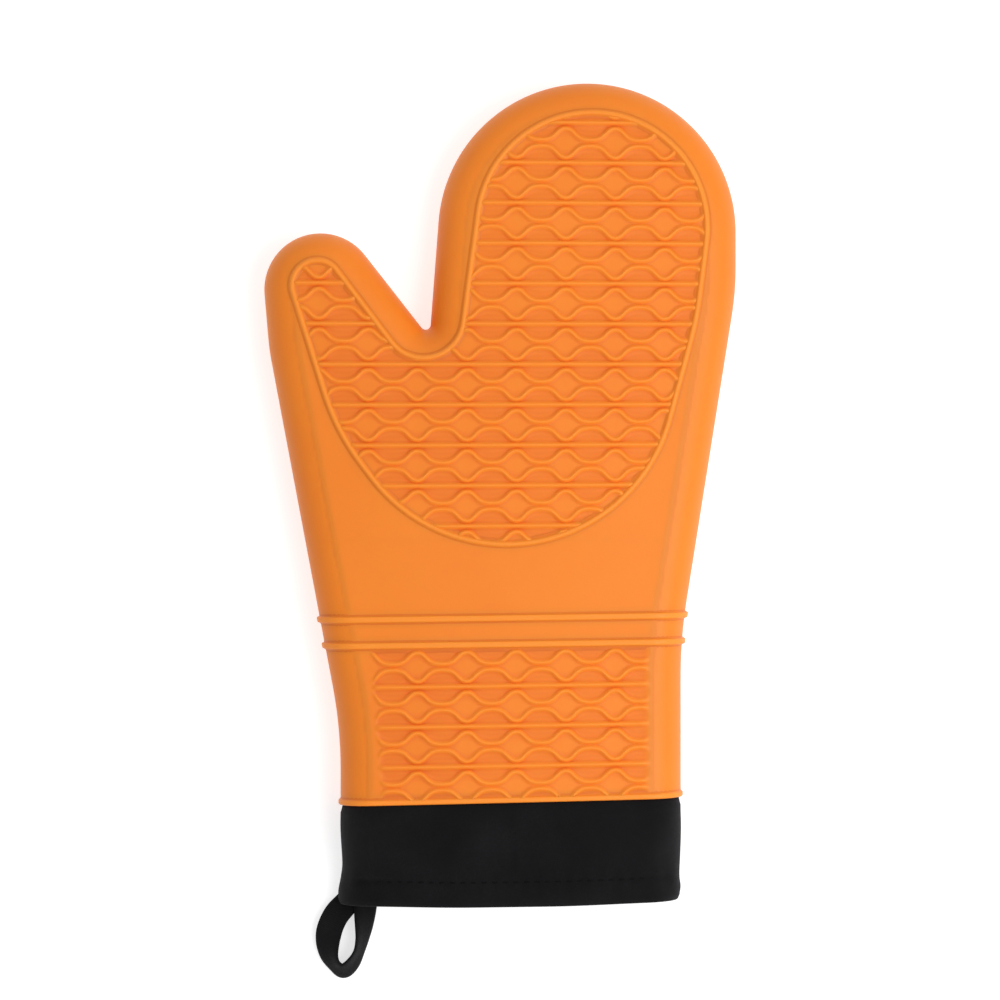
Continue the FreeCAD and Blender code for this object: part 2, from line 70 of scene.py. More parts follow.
mitt = {
    "edgeRound": 13.5 * mm,  # palm or back into the side wall
    "gripHeight": 0.8 * mm,  # ribs, bead and bands above the plain silicone
    "siliconeWall": 1.8 * mm,
    "thumbRadius": 22.5 * mm,
    "fingerRadius": 59.5 * mm,
    "thumbSideRadius": 90.0 * mm,
    "thumbSideSetback": 1.3 * mm,
    "thumbSideY": 32.0 * mm,
    "crotch": (-34.0 * mm, 30.0 * mm),
    "crotchRadius": 2.0 * mm,
    "fingerSideRadius": 120.0 * mm,
    "fingerSideY": 52.7 * mm,
    "waistLeft": (-148.0 * mm, 180.0 * mm),  # height and radius of the flare
    "waistRight": (-111.0 * mm, 200.0 * mm),
    "wristY": -78.0 * mm,
    "thumbLean": math.radians(26.0),
    "rimY": -159.3 * mm,
    "rimTilt": math.tan(math.radians(1.4)),
    "hemY": -201.5 * mm,
    "hemTilt": math.tan(math.radians(0.8)),
    "bandTilt": math.tan(math.radians(0.8)),
    "upperBandY": -86.8 * mm,
    "lowerBandY": -97.2 * mm,
    "splitY": -56.0 * mm,  # gauntlet pieces below, finger and thumb pieces above
}

thumbLow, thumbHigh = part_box("thumb_shell")
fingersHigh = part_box("fingers_shell")[1]
palmLow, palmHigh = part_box("palm_shell")
cuffLow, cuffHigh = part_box("cuff_cloth_palm")
midZ = (palmHigh[2] + palmLow[2]) / 2
faceHalf = (palmHigh[2] - palmLow[2]) / 2 - mitt["gripHeight"]
halfWidth = (cuffHigh[0] - cuffLow[0]) / 2
joints = {joint["name"]: joint for joint in frame["record"]["behaviour"]["joints"]}
fingerHinge = joints["finger_flex"]["pos_m"]
thumbHinge = joints["thumb_flex"]["pos_m"]
loopHinge = joints["loop_swing"]["pos_m"]


def outlineCircles():
    # x, y and signed radius of each circle that the outline runs round, thumb side first
    s = mitt
    sideX = thumbLow[0] + s["thumbSideSetback"] + s["thumbSideRadius"]
    return [
        (-halfWidth - s["waistLeft"][1], s["waistLeft"][0], -s["waistLeft"][1]),
        (sideX, s["thumbSideY"], s["thumbSideRadius"]),
        (thumbLow[0] + s["thumbRadius"], thumbHigh[1] - s["thumbRadius"], s["thumbRadius"]),
        (s["crotch"][0], s["crotch"][1], -s["crotchRadius"]),
        (fingersHigh[0] - s["fingerRadius"], fingersHigh[1] - s["fingerRadius"], s["fingerRadius"]),
        (fingersHigh[0] - s["fingerSideRadius"], s["fingerSideY"], s["fingerSideRadius"]),
        (halfWidth + s["waistRight"][1], s["waistRight"][0], -s["waistRight"][1]),
    ]


panelSizes = {
    # mm added to the outline's thumb, crotch and finger circles: x, y, radius
    "upper": ((-0.9, 1.1, -12.6), (-0.7, 2.3, -14.0), (1.7, 1.2, -14.0)),
    # circles of the lower curve in mm
    "lower": ((-61.1, 58.9, 137.0), (-1.8, 9.3, 66.9), (15.9, 31.0, 94.1)),
}


def panelCircles():
    # circles that the palm panel's border bead runs round
    upper = np.array(outlineCircles()[2:5]) + np.array(panelSizes["upper"]) * mm
    return np.concatenate([upper, np.array(panelSizes["lower"]) * mm]).tolist()


def beltTurns(circles, closed):
    # direction of the line between neighbours: bearing minus arcsine(radius step / distance)
    c = np.array(circles)
    following = np.roll(c, -1, axis=0)
    if not closed:
        c = c[:-1]
        following = following[:-1]
    d = following - c
    lean = np.arcsin((c[:, 2] - following[:, 2]) / np.hypot(d[:, 0], d[:, 1]))
    turn = np.arctan2(d[:, 1], d[:, 0]) - lean
    if closed:
        return np.roll(turn, 1), turn
    return np.append(math.pi / 2, turn), np.append(turn, -math.pi / 2)


pathSizes = {
    "outlineStep": 2.2 * mm,
    "panelStep": 1.2 * mm,
    "arcStep": 0.12,  # widest angle between two points of an arc
    "sameSpot": 0.02 * mm,  # nearer points count as one
    "pastHem": 5 * mm,
    "pastSplit": 20 * mm,
}


def beltPath(circles, step, closed=False, endY=None):
    # points and outward normals along arcs and tangent lines: centre + radius * (-sin a, cos a)
    before, after = beltTurns(circles, closed)
    points = []
    normals = []
    for (x, y, r), a0, a1 in zip(circles, before, after):
        swing = (a1 - a0) % (2 * math.pi)  # hollow circles are passed anticlockwise
        if r > 0:
            swing = -((a0 - a1) % (2 * math.pi))  # and full ones clockwise
        if abs(swing) > 2 * math.pi - 1e-6:
            swing = 0
        count = max(3, int(abs(r * swing) / step), int(abs(swing) / pathSizes["arcStep"]))
        a = a0 + swing * np.linspace(0, 1, count)
        n = np.stack([-np.sin(a), np.cos(a)], axis=1)
        points.append(np.array([x, y]) + r * n)
        normals.append(n)
    if endY is not None:
        start = np.array([[points[0][0, 0], endY]])
        end = np.array([[points[-1][-1, 0], endY]])
        points = [start] + points + [end]
        normals = [normals[0][:1]] + normals + [normals[-1][-1:]]
    if closed:
        points.append(points[0][:1])
        normals.append(normals[0][:1])
    outPoints = [points[0]]
    outNormals = [normals[0]]
    for p, n in zip(points[1:], normals[1:]):
        count = int(np.linalg.norm(p[0] - outPoints[-1][-1]) / step)
        t = np.linspace(0, 1, count + 2)[1:-1, None]
        outPoints += [outPoints[-1][-1] * (1 - t) + p[0] * t, p]
        outNormals += [np.repeat(n[:1], count, axis=0), n]
    points = np.concatenate(outPoints)
    normals = np.concatenate(outNormals)
    fresh = np.linalg.norm(points - np.roll(points, 1, axis=0), axis=1) > pathSizes["sameSpot"]
    if closed:
        fresh[-1] = False
    return points[fresh], normals[fresh]


def depthInside(x, y, path):
    # distance inwards from a path: along the nearest sample's normal, or to the sample itself
    # where the normal's part is under 0.7 of it; a block of points at a time
    points, normals = path
    flat = np.stack([x.ravel(), y.ravel()], axis=1)
    depth = np.empty(len(flat))
    block = 4000
    for start in range(0, len(flat), block):
        part = flat[start:start + block]
        gap = ((part[:, None, :] - points[None]) ** 2).sum(axis=2)
        near = gap.argmin(axis=1)
        along = -((part - points[near]) * normals[near]).sum(axis=1)
        distance = np.sqrt(gap[np.arange(len(part)), near])
        depth[start:start + block] = np.where(np.abs(along) > 0.7 * distance, along,
                                              np.sign(along) * distance)
    return depth.reshape(x.shape)


def smoothStep(value, low, high):
    # 0 below low, 1 above high, 3t^2 - 2t^3 between
    t = np.clip((value - low) / (high - low), 0, 1)
    return t * t * (3 - 2 * t)


outlinePath = beltPath(outlineCircles(), pathSizes["outlineStep"],
                       endY=mitt["hemY"] - pathSizes["pastHem"])
panelPath = beltPath(panelCircles(), pathSizes["panelStep"], closed=True)
lowPart = outlinePath[0][:, 1] < mitt["splitY"] + pathSizes["pastSplit"]
leftSide = outlinePath[0][lowPart & (outlinePath[0][:, 0] < 0)]
rightSide = outlinePath[0][lowPart & (outlinePath[0][:, 0] > 0)][::-1]


def rimLine(x):
    return mitt["rimY"] + mitt["rimTilt"] * x


def hemLine(x):
    return mitt["hemY"] + mitt["hemTilt"] * x


def makeObject(name, points, faces, material):
    mesh = bpy.data.meshes.new(name)
    mesh.from_pydata(np.asarray(points).tolist(), [], np.asarray(faces).tolist())
    mesh.update()
    mesh.polygons.foreach_set("use_smooth", np.ones(len(mesh.polygons), dtype=bool))
    piece = bpy.data.objects.new(name, mesh)
    bpy.context.scene.collection.objects.link(piece)
    mesh.materials.append(material)
    return piece


def setFlatMap(piece, u, v):
    # lay the piece's own map out in metres, one corner at a time
    corners = np.empty(len(piece.data.loops), dtype=np.int32)
    piece.data.loops.foreach_get("vertex_index", corners)
    layer = piece.data.uv_layers.new(name="cloth")
    layer.uv.foreach_set("vector", np.stack([u, v], axis=1)[corners].astype(np.float32).ravel())


def gridFaces(rows, columns, closeRows=False):
    # quads over a rows x columns grid of points
    r = np.arange(rows if closeRows else rows - 1)
    r, c = np.meshgrid(r, np.arange(columns - 1), indexing="ij")
    here = r * columns + c
    below = (r + 1) % rows * columns + c
    return np.stack([here, here + 1, below + 1, below], axis=-1).reshape(-1, 4)


def pointNormals(points, faces):
    # sum of the neighbouring faces' normals, each the cross product of a face's diagonals
    a, b, c, d = (points[faces[:, i]] for i in range(4))
    n = np.cross(c - a, d - b)
    total = np.zeros_like(points)
    for i in range(4):
        np.add.at(total, faces[:, i], n)
    return total / np.maximum(np.linalg.norm(total, axis=1), 1e-12)[:, None]


def turned(points, faces, outward):
    # faces reversed where they look the wrong way on the whole
    agree = (pointNormals(points, faces) * outward).sum()
    return faces if agree > 0 else faces[:, ::-1]


def joinGrids(parts):
    # several (points, faces, painted shading) as one
    starts = np.cumsum([0] + [len(p[0]) for p in parts[:-1]])
    points = np.concatenate([p[0] for p in parts])
    faces = np.concatenate([p[1] + start for p, start in zip(parts, starts)])
    paintedShading = np.concatenate([p[2] if len(p) > 2 else np.zeros(len(p[0])) for p in parts])
    return points, faces, paintedShading


zoneNodes = {"gauntlet": ["gauntlet"], "fingers": ["fingers", "palm"], "thumb": ["thumb"]}


def bendWith(piece, zone):
    # bake a zone's piece in place; the wrist line or hinge is read but nothing bends
    if zone == "gauntlet":
        y = mitt["wristY"]
        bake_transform(piece)
    elif zone == "fingers":
        x, y, z = fingerHinge
        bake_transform(piece)
    else:
        x, y, z = thumbHinge
        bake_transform(piece)


def placeInZones(name, surface, material, layer, declare=None):
    # cut a whole-mitt surface into its bending zones; shared normals keep the joins smooth
    points, faces, paintedShading = surface
    normals = pointNormals(points, faces)
    middle = points[faces].mean(axis=1)
    upper = middle[:, 1] >= mitt["splitY"]
    right = middle[:, 0] >= mitt["crotch"][0]
    for zone, mask in (("gauntlet", ~upper), ("fingers", upper & right), ("thumb", upper & ~right)):
        used, index = np.unique(faces[mask], return_inverse=True)
        piece = makeObject(f"{zone}_{name}", points[used], index.reshape(-1, 4), material)
        piece.data.normals_split_custom_set_from_vertices(normals[used].tolist())
        # store the painted highlight and shade for the material's colours
        mark = piece.data.attributes.new("paintedShading", "FLOAT", "POINT")
        mark.data.foreach_set("value", paintedShading[used].astype(np.float32))
        if declare:
            declare(piece, points[used], index.reshape(-1, 4))
        bendWith(piece, zone)
        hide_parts(*[n for n in frame["nodes"]
                             if any(n.startswith(f"{part}_{layer}") for part in zoneNodes[zone])])


driftSizes = {
    "wave": 0.15 * mm,
    "waveDepth": (4 * mm, 16 * mm),  # depths inside the outline where they come in
    "crown": 0.8 * mm,  # middle of a face above its edge
    "crownDepth": (6 * mm, 48 * mm),
}


def faceDrift(x, y, depth):
    # slow waves of the faces, a product of sines and one slanted sine, and their crown
    s = driftSizes
    wave = np.sin(x * 38 + 0.7) * np.sin(y * 27 + 1.1) + 0.6 * np.sin(x * 19 - y * 33 + 2.0)
    crown = s["crown"] * (1 - smoothStep(depth, *s["crownDepth"]))
    return wave * s["wave"] * smoothStep(depth, *s["waveDepth"]) - crown


def roundedHeight(x, y, depth, inset):
    # a layer's height over the mid plane: flat, then a quarter circle at the edge
    radius = mitt["edgeRound"] - inset
    edge = np.clip(radius - np.clip(depth - inset, 0, None), 0, radius)
    height = faceHalf - inset - radius + np.sqrt(radius ** 2 - edge ** 2)
    return height + faceDrift(x, y, depth)


def faceHeight(x, y, inset):
    depth = depthInside(x, y, outlinePath)
    return roundedHeight(x, y, depth, inset), depth


sagSizes = {
    "drop": 10.0 * mm,  # cuff's side edges at the hem, towards the table
    "from": 14 * mm,  # distance from the middle where it starts
    "to": 70 * mm,
    "hemSide": 4 * mm,  # full below this height over the hem
    "rimSide": 1 * mm,  # none above this depth under the rim
    "softness": 1.5 * mm,
}


def softFloor(height):
    # height where it is well above zero and zero where well below: s ln(1 + e^(height / s))
    s = sagSizes["softness"]
    return s * np.log1p(np.exp(np.clip(height / s, -40, 40)))


def sagged(points, inset):
    # the cloth sinks at its sides on to a soft floor at its own lowest level; what the softness
    # adds comes off again where little has sunk
    s = sagSizes
    x, y, z = points[:, 0], points[:, 1], points[:, 2]
    below = 1 - smoothStep(y, hemLine(x) + s["hemSide"], rimLine(x) - s["rimSide"])
    drop = s["drop"] * smoothStep(np.abs(x), s["from"], s["to"]) * below
    level = midZ - faceHalf + inset
    added = z - level - softFloor(z - level)
    sunk = level + softFloor(z - drop - level) + added * (1 - drop / s["drop"])
    return np.stack([x, y, np.where(drop > 0, sunk, z)], axis=1)


ringRows = {
    "facePoints": 90,
    "arcPoints": 13,
}


def inRows(pairs):
    # pairs in mm along the mitt and out of its section, as the two rows that a ring takes
    along, lift = np.array(pairs, float).T * mm
    return along[None, :], lift[None, :]


def ring(along, lift, line, waves=None, sideLift=0):
    # the mitt's section carried along Y: face, quarter circle, face, quarter circle; each point
    # moves out along its normal by lift, and by sideLift more where it faces sideways
    radius = mitt["edgeRound"]
    f = np.linspace(0, 1, ringRows["facePoints"])
    a = np.linspace(math.pi / 2, 0, ringRows["arcPoints"])[1:]
    side = np.concatenate([f, np.ones(len(a)), np.ones(len(a)), f[::-1], np.zeros(2 * len(a))])
    bulge = np.concatenate([1 - 2 * f, np.cos(a) - 1, np.cos(a[::-1]) - 1, 2 * f - 1,
                            1 - np.cos(a), 1 - np.cos(a[::-1])])
    rise = np.concatenate([np.ones(len(f)), np.sin(a), -np.sin(a[::-1]), -np.ones(len(f)),
                           -np.sin(a), np.sin(a[::-1])])
    rise = np.where(np.abs(rise) < 1e-9, 0, rise)
    half = np.concatenate([np.ones(len(f) + len(a)), -np.ones(len(f) + 2 * len(a)), np.ones(len(a))])
    nx = np.concatenate([0 * f, np.cos(a), np.cos(a[::-1]), 0 * f, -np.cos(a), -np.cos(a[::-1])])
    side, bulge, rise, half, nx = (v[:, None] for v in (side, bulge, rise, half, nx))
    level = line(0 * side) + along
    for settle in range(2):  # x hangs on the level and the level on x
        left = np.interp(level, leftSide[:, 1], leftSide[:, 0])
        right = np.interp(level, rightSide[:, 1], rightSide[:, 0])
        x = left * (1 - side) + right * side + radius * bulge
        level = line(x) + along
    depth = np.minimum(x - left, right - x)
    z = half * (faceHalf - radius) + rise * radius + half * faceDrift(x, level, depth)
    lift = lift + sideLift * np.abs(nx)
    if waves is not None:
        lift = lift + waves(x, level, half)
    points = np.stack([x + lift * nx, level, midZ + z + lift * rise], axis=-1)
    outward = np.stack(np.broadcast_arrays(nx, 0 * level, rise + 0 * level), axis=-1)
    rows, columns = points.shape[:2]
    flat = points.reshape(-1, 3)
    faces = turned(flat, gridFaces(rows, columns, closeRows=True), outward.reshape(-1, 3))
    return flat, faces, (rows, columns)


def layerSheets(gridX, gridY, inset, extra, lowest, overlap, inward=False):
    # palm and back sheets of one layer over a grid, running a little over the edge's strip
    height, depth = faceHeight(gridX, gridY, inset)
    height = height + extra(gridX, gridY, depth)
    faces = gridFaces(*gridY.shape)
    keep = (depth > mitt["edgeRound"] - overlap) & (gridY > lowest(gridX))
    faces = faces[keep.ravel()[faces].all(axis=1)]
    parts = []
    for side in (1, -1):
        points = np.stack([gridX, gridY, midZ + side * height], axis=-1).reshape(-1, 3)
        outward = np.array([0, 0, -side if inward else side])
        parts.append((points, turned(points, faces, outward)))
    return parts


def edgeStrip(inset, lowest, inward=False):
    # strip round the edge: in from the palm face, over the rounding, down the wall and back
    path, normals = outlinePath
    radius = mitt["edgeRound"] - inset
    a = np.linspace(0, math.pi / 2, 11)
    depths = inset + radius * (1 - np.sin(a))
    above = path[:, 1] > lowest(path[:, 0])
    foot = np.array([[-halfWidth, lowest(-halfWidth)], [halfWidth, lowest(halfWidth)]])
    path = np.concatenate([foot[:1], path[above], foot[1:]])
    normals = np.concatenate([[[-1.0, 0.0]], normals[above], [[1.0, 0.0]]])
    strip = path[:, None, :] - depths[None, :, None] * normals[:, None, :]
    height = roundedHeight(strip[..., 0], strip[..., 1], depths, inset)
    height = height - 0.05 * mm * (a == 0)  # inner border just under the sheets
    top = np.concatenate([strip, midZ + height[..., None]], axis=-1)
    bottom = np.concatenate([strip, midZ - height[..., None]], axis=-1)[:, ::-1]
    around = np.concatenate([top, bottom], axis=1)
    out = np.concatenate([normals, np.zeros((len(normals), 1))], axis=1)
    out = np.repeat(out[:, None, :], around.shape[1], axis=1).reshape(-1, 3)
    points = around.reshape(-1, 3)
    return points, turned(points, gridFaces(*around.shape[:2]), -out if inward else out)


def plainLayer(inset, lowest, step, inward=False, extra=lambda x, y, depth: 0 * x):
    # one layer of the whole mitt on a square grid that reaches a square under the strip
    x, y = np.meshgrid(np.arange(cadBox[0][0], cadBox[1][0] + step, step),
                       np.arange(mitt["hemY"], cadBox[1][1] + step, step))
    overlap = 1.45 * step
    parts = layerSheets(x, y, inset, extra, lowest, overlap, inward)
    return parts + [edgeStrip(inset, lowest, inward)]


ribs = {
    "pitchX": 19.58 * mm,  # one diamond to the next
    "diamondX": 2.05 * mm,  # middle of one diamond
    "pitchY": 16.01 * mm,  # one straight rib to the next on the palm
    "firstY": 109.8 * mm,  # highest straight rib
    "rows": 11,
    "gauntletPitchY": 15.85 * mm,
    "gauntletFirstY": -97.8 * mm,
    "gauntletRows": 4,
    "upperPeak": 2.4 * mm,  # straight rib to the upper wave's peaks
    "upperTrough": 6.9 * mm,
    "lowerCrest": 9.3 * mm,
    "lowerTrough": 13.9 * mm,
    "fan": -0.0065,  # degrees of tilt per mm above fanY
    "fanY": 15 * mm,
    "sharpness": 0.75,  # narrower peaks and broader troughs
    "flatness": 0.4,  # flatter tips, straighter flanks
    "height": 0.78 * mm,
    "halfWidth": 1.15 * mm,
    "roundness": 0.7,  # power of the section's raised cosine
    "foot": (1.35 * mm, 0.5 * mm),  # middle and width of the corner beside a rib, where shade is painted
    "dish": (0.3 * mm, 0.05 * mm, 0.3 * mm),  # sink of the three cells of a row, top to bottom
    "dishFrom": 0.8 * mm,  # where the sink starts, and its least end
    "dishTo": 1.2 * mm,
    "crestHighlight": 0.8,  # painted highlight on a rib, painted shade beside it and in the three cells
    "footShade": -0.45,
    "cellShade": (-0.45, 0.0, -0.45),
    "columnStep": 1.0 * mm,
    "nearRows": (0.0, 0.32, 0.64, 0.96, 1.4),  # mm from a rib to the rows beside it
    "nearShare": 0.44,  # most of a gap they may fill
    "plainRows": 12,
}


def waveShape(x):
    # exp(k (cos a - 1)) brought to 0..1: 1 at a diamond's middle, 0 half way between two;
    # a share of 3w^2 - 2w^3 straightens its flanks
    k = ribs["sharpness"]
    angle = 2 * math.pi * (x - ribs["diamondX"]) / ribs["pitchX"]
    low = math.exp(-2 * k)
    wave = (np.exp(k * (np.cos(angle) - 1)) - low) / (1 - low)
    return (1 - ribs["flatness"]) * wave + ribs["flatness"] * wave ** 2 * (3 - 2 * wave)


def rowTilt(y):
    # the rows fan slightly over the length of the mitt
    return math.tan(math.radians(ribs["fan"] * (y - ribs["fanY"]) / mm))


def ribRow(x, y, pitch):
    # one row's three rib lines from the straight one down: straight, upper wave, lower wave
    s = ribs
    wave = waveShape(x)
    scale = pitch / s["pitchY"]
    level = y + rowTilt(y) * x
    upper = level - scale * (s["upperTrough"] + (s["upperPeak"] - s["upperTrough"]) * wave)
    lower = level - scale * (s["lowerCrest"] + (s["lowerTrough"] - s["lowerCrest"]) * wave)
    return [level, upper, lower]


def ribLines(x):
    # every rib line's y over the columns x, top to bottom, and where the plain stretch starts
    s = ribs
    lines = []
    for i in range(-1, s["rows"]):
        lines += ribRow(x, s["firstY"] - i * s["pitchY"], s["pitchY"])
    lines.append(ribRow(x, s["firstY"] - s["rows"] * s["pitchY"], s["pitchY"])[0])
    plain = len(lines) - 1
    for i in range(s["gauntletRows"] + 1):
        lines += ribRow(x, s["gauntletFirstY"] - i * s["gauntletPitchY"], s["gauntletPitchY"])
    return lines[:-2], plain


def ribProfile(away):
    # raised cosine to a power below one
    t = np.clip(away / ribs["halfWidth"], 0, 1)
    return (0.5 + 0.5 * np.cos(math.pi * t)) ** ribs["roundness"]


def cellRows(x, upper, lower):
    # rows between two rib lines, close together at each, their distances square to the nearer
    # rib, and the greatest one
    s = ribs
    near = np.array(s["nearRows"]) * mm
    gap = upper - lower
    stretchUp = np.sqrt(1 + np.gradient(upper, x) ** 2)
    stretchLow = np.sqrt(1 + np.gradient(lower, x) ** 2)
    squeezeUp = np.minimum(1, s["nearShare"] * gap / (near[-1] * stretchUp))
    squeezeLow = np.minimum(1, s["nearShare"] * gap / (near[-1] * stretchLow))
    rows = [upper - offset * stretchUp * squeezeUp for offset in near]
    first = rows[-1]
    last = lower + near[-1] * stretchLow * squeezeLow
    rows += [first + (last - first) * share for share in (0.25, 0.5, 0.75)]
    rows += [lower + offset * stretchLow * squeezeLow for offset in near[:0:-1]]
    distances = [np.minimum((upper - y) / stretchUp, (y - lower) / stretchLow) for y in rows]
    return rows, distances, gap / (stretchUp + stretchLow)


def ribbedGrid():
    # grid whose lines follow the ribs; height of each point, and the painted highlight and shade on
    # it
    s = ribs
    x = np.arange(palmLow[0] - 8 * mm, palmHigh[0] + 14 * mm, s["columnStep"])
    lines, plain = ribLines(x)
    table = []
    for index, (upper, lower) in enumerate(zip(lines[:-1], lines[1:])):
        if index == plain:
            shares = np.linspace(0, 1, s["plainRows"], endpoint=False)
            table += [(upper - (upper - lower) * share, 0 * x, 0 * x) for share in shares]
            continue
        cell = (index if index < plain else index - plain - 1) % 3
        rows, distances, middle = cellRows(x, upper, lower)
        for y, away in zip(rows, distances):
            crest = ribProfile(away)
            # painted shade in the corner beside a rib
            foot = np.exp(-((away - s["foot"][0]) / s["foot"][1]) ** 2)
            sink = smoothStep(away, s["dishFrom"], np.maximum(middle, s["dishTo"]))
            height = s["height"] * crest - s["dish"][cell] * sink
            # painted highlight on the crest, painted shade at the foot and in the sunk cells
            highlightAndShade = s["crestHighlight"] * crest + s["footShade"] * foot + s["cellShade"][cell] * sink
            table.append((y, height, highlightAndShade))
    table.append((lines[-1], 0 * x, 0 * x))
    gridY, height, highlightAndShade = np.array(table).transpose(1, 0, 2)
    return np.broadcast_to(x, gridY.shape), gridY, height, highlightAndShade


panelEdges = {
    "bead": (0.3 * mm, 1.3 * mm),  # ribs rise over this stretch inside the border bead
    "palmLowest": -62 * mm,
    "gauntletHighest": -90 * mm,
    "left": -51.0 * mm,  # at the rim
    "leftSlope": -0.076,
    "right": 54.6 * mm,
    "belowBand": 1.5 * mm,
    "sideFade": 1.5 * mm,
    "topFade": 1.0 * mm,
}


def ribMask(x, y):
    # ribs run out at the border bead, and softly at the gauntlet panel's sides and top
    s = panelEdges
    palm = smoothStep(depthInside(x, y, panelPath), *s["bead"]) * (y > s["palmLowest"])
    left = s["left"] + s["leftSlope"] * (y - mitt["rimY"])
    top = mitt["lowerBandY"] - s["belowBand"] + mitt["bandTilt"] * x
    gauntlet = (smoothStep(x, left, left + s["sideFade"])
                * (1 - smoothStep(x, s["right"] - s["sideFade"], s["right"]))
                * (1 - smoothStep(y, top - s["topFade"], top)))
    return palm + gauntlet * (y < s["gauntletHighest"])


beadSizes = {
    "height": 0.85 * mm,
    # mm across the bead, and the share of its height there
    "offsets": (-2.4, -1.7, -1.25, -0.95, -0.65, -0.35, 0, 0.35, 0.65, 0.95, 1.25, 1.7, 2.4),
    "shape": (-0.18, 0.0, 0.14, 0.48, 0.82, 0.96, 1, 0.96, 0.82, 0.48, 0.14, 0.0, -0.18),
}


def panelBeads():
    # border bead of the palm panel and of its twin on the back: a rounded ridge along the path
    path, normals = panelPath
    path = np.concatenate([path, path[:1]])
    normals = np.concatenate([normals, normals[:1]])
    offset = np.array(beadSizes["offsets"]) * mm
    shape = np.array(beadSizes["shape"])
    flat = path[:, None, :] + offset[None, :, None] * normals[:, None, :]
    height, depth = faceHeight(flat[..., 0], flat[..., 1], 0)
    height = height + shape * beadSizes["height"]
    # painted highlight along the bead's top and painted shade at its feet
    highlightAndShade = np.broadcast_to(np.clip(shape * 1.5 - 0.5, -0.7, 0.9), height.shape).ravel()
    parts = []
    for side in (1, -1):
        points = np.concatenate([flat, midZ + side * height[..., None]], axis=-1).reshape(-1, 3)
        faces = turned(points, gridFaces(*height.shape), np.array([0, 0, side]))
        parts.append((points, faces, highlightAndShade))
    return parts


bandSizes = {
    "proud": 0.8 * mm,  # on the faces
    "sideProud": 0.45 * mm,  # how much more at the sides
    # mm across the band, and the share of its height there
    "along": (-3.0, -2.1, -1.6, -1.3, -1.15, -0.95, -0.5, 0, 0.5, 0.95, 1.15, 1.3, 1.6, 2.1, 3.0),
    "shape": (-0.2, -0.02, 0.06, 0.22, 0.62, 0.92, 1, 1, 1, 0.92, 0.62, 0.22, 0.06, -0.02, -0.2),
    "inner": (0,) * 15,
}

rimSizes = {
    "proud": 0.8 * mm,
    "sideProud": 0.05 * mm,
    "along": (3.6, 2.4, 1.9, 1.55, 1.35, 1.1, 0.7, 0.2, -0.25, -0.5, -0.67, -0.75, -0.75, 0.3, 6.0),
    "shape": (-0.2, -0.02, 0.06, 0.22, 0.62, 0.92, 1, 1, 0.95, 0.8, 0.45, 0.1, 0, 0, 0),
    "inner": (0,) * 12 + (-1.8,) * 3,  # mm; the last rows turn in through the wall
}


def band(line, sizes):
    # belt round the gauntlet; it stands out more at the sides than on the faces
    shape = np.array(sizes["shape"])
    lift = shape * sizes["proud"] + np.array(sizes["inner"]) * mm
    points, faces, size = ring(np.array(sizes["along"])[None, :] * mm, lift, line,
                               sideLift=shape * sizes["sideProud"])
    # painted highlight along the band's top and painted shade at its feet
    highlightAndShade = np.broadcast_to(np.clip(shape * 1.6 - 0.6, -0.8, 1), size).ravel()
    return points, faces, highlightAndShade


skinSizes = {
    "aboveRim": 0.6 * mm,
    "overlap": 3.1 * mm,  # ribbed sheets under the strip round the edge
    "wallAboveRim": 5 * mm,
    "wallStep": 5 * mm,
}


def siliconeSkin():
    # outside skin with everything moulded on it, and the plain wall inside
    s = skinSizes
    gridX, gridY, height, highlightAndShade = ribbedGrid()
    mask = ribMask(gridX, gridY)

    def lowest(x):
        return rimLine(x) + s["aboveRim"]

    sheets = layerSheets(gridX, gridY, 0, lambda x, y, depth: height * mask, lowest, s["overlap"])
    # painted highlight and shade, faded out with the ribs
    parts = [(points, faces, (highlightAndShade * mask).ravel()) for points, faces in sheets]
    parts.append(edgeStrip(0, lowest))
    parts += panelBeads()
    for y in (mitt["upperBandY"], mitt["lowerBandY"]):
        parts.append(band(lambda x: y + mitt["bandTilt"] * x, bandSizes))
    parts.append(band(rimLine, rimSizes))
    parts += plainLayer(mitt["siliconeWall"], lambda x: rimLine(x) + s["wallAboveRim"],
                        s["wallStep"], inward=True)
    return joinGrids(parts)


cuffSizes = {
    "hemDepth": 10.0 * mm,
    "ease": 0.05 * mm,  # cloth inside the silicone's own outline
    "row": 1.1 * mm,
    "stitchPull": 0.7 * mm,
    "pullWidth": 1.3 * mm,
    "pullEnds": (58 * mm, 66 * mm),  # distances from the middle where it fades
    "pucker": 0.22 * mm,
    "puckerLength": 6.3 * mm,
    "puckerWidth": 4.5 * mm,
    "slowFold": 0.45 * mm,
    "fineFold": 0.3 * mm,
    "crease": (0.8 * mm, 1.5 * mm),  # depth and width
    "creaseX": 1.0 * mm,
    "creaseLean": 0.07,
    "pocket": (0.9 * mm, 9 * mm),  # depth and width of the dent near the loop
    "pocketX": -55 * mm,
    "roll": (0.35 * mm, 3 * mm),  # height and width of the fullness below the stitching
    "waist": 0.3 * mm,  # sides drawn in above the hem
    "corner": 1.3 * mm,  # corner drawn out towards the loop
    "sideEdge": (55 * mm, 67 * mm),  # and where the sides begin
    # mm along from the rim and out of the section: the tuck in the silicone
    "tuck": ((12, -2.1), (9, -2.1), (6, -2.1), (3, -2.1), (1.2, -2.1), (0.3, -2.0), (-0.3, -1.5),
             (-0.8, -1.05), (-1.6, -0.65), (-2.8, -0.42)),
    # mm along from the hem and out of the section: the fold at the mouth
    "fold": ((1.1, -0.38), (0.6, -0.5), (0.25, -0.72), (0.05, -1.05), (0, -1.4), (0.05, -1.75),
             (0.3, -2.05), (0.9, -2.25), (2.0, -2.35), (4.0, -2.4)),
}


def hump(value, middle, width):
    # bell curve exp(-t^2)
    return np.exp(-((value - middle) / width) ** 2)


